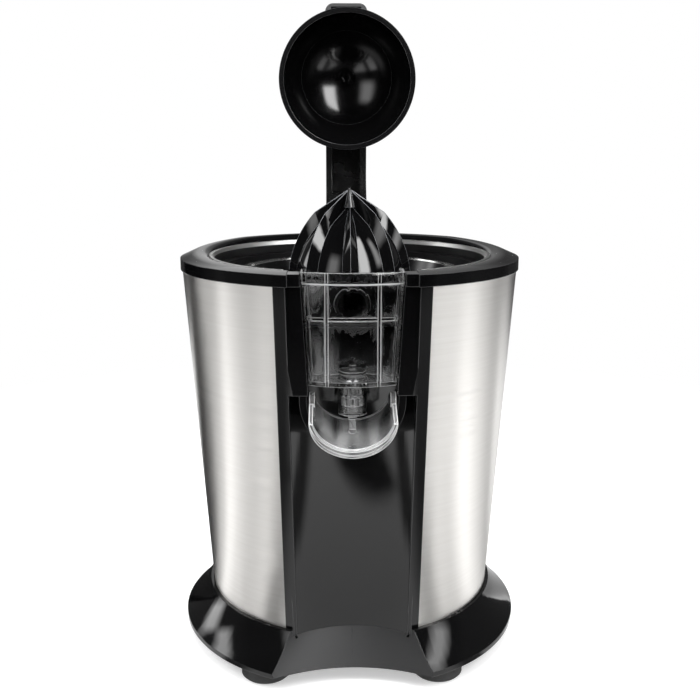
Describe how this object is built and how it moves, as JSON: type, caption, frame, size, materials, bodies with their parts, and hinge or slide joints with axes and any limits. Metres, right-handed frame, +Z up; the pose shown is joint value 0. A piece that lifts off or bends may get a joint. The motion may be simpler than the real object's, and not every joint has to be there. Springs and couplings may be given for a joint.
{
  "type": "commercial citrus juicer",
  "caption": "Countertop electric citrus juicer: brushed steel drum, gloss black rim, base and ribbed cone, hinged press lever with a dome, clear juice box with tilting drip spout.",
  "frame": {"origin": "on the table, under the middle of the overall box with the lever raised", "axes": "+Z up, -Y to the front where the juice runs out, +X to the right seen from the front"},
  "size_m": [0.2284, 0.2776, 0.4341],
  "materials": {
    "gloss_black": "gloss",
    "cone_black": "gloss",
    "bowl_black": "satin",
    "arm_grey": "satin",
    "dome_black": "satin",
    "clear_plastic": "clear gloss",
    "brushed_drum": "fine horizontal brushing",
    "bright_steel": "polished",
    "plain_steel": "plain",
    "motor_iron": "plain",
    "copper": "varnished",
    "bearing_bronze": "plain",
    "inner_plastic": "matte",
    "gear_plastic": "matte",
    "foot_rubber": "matte",
    "seal_rubber": "matte"
  },
  "bodies": {
    "housing": {"base_plate": "inner_plastic", "base_skirt": "gloss_black", "bracket_screws": "plain_steel", "case_screws": "plain_steel", "cord_grommet": "foot_rubber", "deck": "motor_iron", "deck_posts": "inner_plastic", "deck_screws": "plain_steel", "foot_front_left": "foot_rubber", "foot_front_right": "foot_rubber", "foot_rear_left": "foot_rubber", "foot_rear_right": "foot_rubber", "foot_screws": "plain_steel", "front_panel": "gloss_black", "gear_case": "inner_plastic", "hinge_bracket": "gloss_black", "hinge_pin": "bright_steel", "juice_bowl": "bowl_black", "juice_box": "clear_plastic", "microswitch": "inner_plastic", "motor_bracket": "motor_iron", "motor_studs": "plain_steel", "output_bush_low": "bearing_bronze", "output_bush_top": "bearing_bronze", "return_spring": "plain_steel", "rim_trim_ring": "bright_steel", "rotor_bush_low": "bearing_bronze", "rotor_bush_top": "bearing_bronze", "shaft_seal": "seal_rubber", "stator_core": "motor_iron", "stator_windings": "copper", "steel_wrap": "brushed_drum", "strainer": "bowl_black", "top_rim": "gloss_black"},
    "lever": {"lever_arm": "arm_grey", "hinge_bush": "bearing_bronze", "press_dome": "dome_black", "dome_screw": "dome_black"},
    "press_carriage": {"thrust_collar": "plain_steel"},
    "cone": {"drive_shaft": "plain_steel", "juicing_cone": "cone_black"},
    "output": {"output_gear": "gear_plastic"},
    "rotor": {"rotor_shaft": "plain_steel", "rotor_core": "motor_iron", "cooling_fan": "inner_plastic"},
    "spout": {"drip_spout": "clear_plastic", "spout_pins": "gloss_black"},
    "valve": {"valve_plug": "clear_plastic", "valve_seal": "seal_rubber"}
  },
  "joints": [
    {"name": "lever_hinge", "type": "hinge", "parent": "housing", "child": "lever", "pos_m": [0, 0.08277, 0.268], "axis": [1, 0, 0], "range_deg": [0, 83.5]},
    {"name": "rotor_spin", "type": "hinge", "parent": "housing", "child": "rotor", "pos_m": [0, 0.02092, 0.12], "axis": [0, 0, 1], "continuous": true},
    {"name": "output_spin", "type": "hinge", "parent": "housing", "child": "output", "pos_m": [0, -0.02423, 0.197], "axis": [0, 0, 1], "continuous": true},
    {"name": "cone_press", "type": "slide", "parent": "housing", "child": "press_carriage", "axis": [0, 0, -1], "range_m": [0, 0.002], "stiffness_N_per_m": 2000, "springref_m": -0.003, "deforming": ["return_spring"]},
    {"name": "cone_spin", "type": "hinge", "parent": "press_carriage", "child": "cone", "pos_m": [0, -0.02423, 0.236], "axis": [0, 0, 1], "continuous": true},
    {"name": "spout_tilt", "type": "hinge", "parent": "housing", "child": "spout", "pos_m": [0, -0.11623, 0.182], "axis": [-1, 0, 0], "range_deg": [0, 55]},
    {"name": "valve_slide", "type": "slide", "parent": "housing", "child": "valve", "axis": [0, 0, -1], "range_m": [0, 0.0021]}
  ],
  "couplings": [
    {"joint": "output_spin", "follows": "rotor_spin", "ratio": -0.2},
    {"joint": "cone_spin", "follows": "rotor_spin", "ratio": -0.2},
    {"joint": "valve_slide", "follows": "spout_tilt", "m_per_rad": 0.0021876}
  ]
}
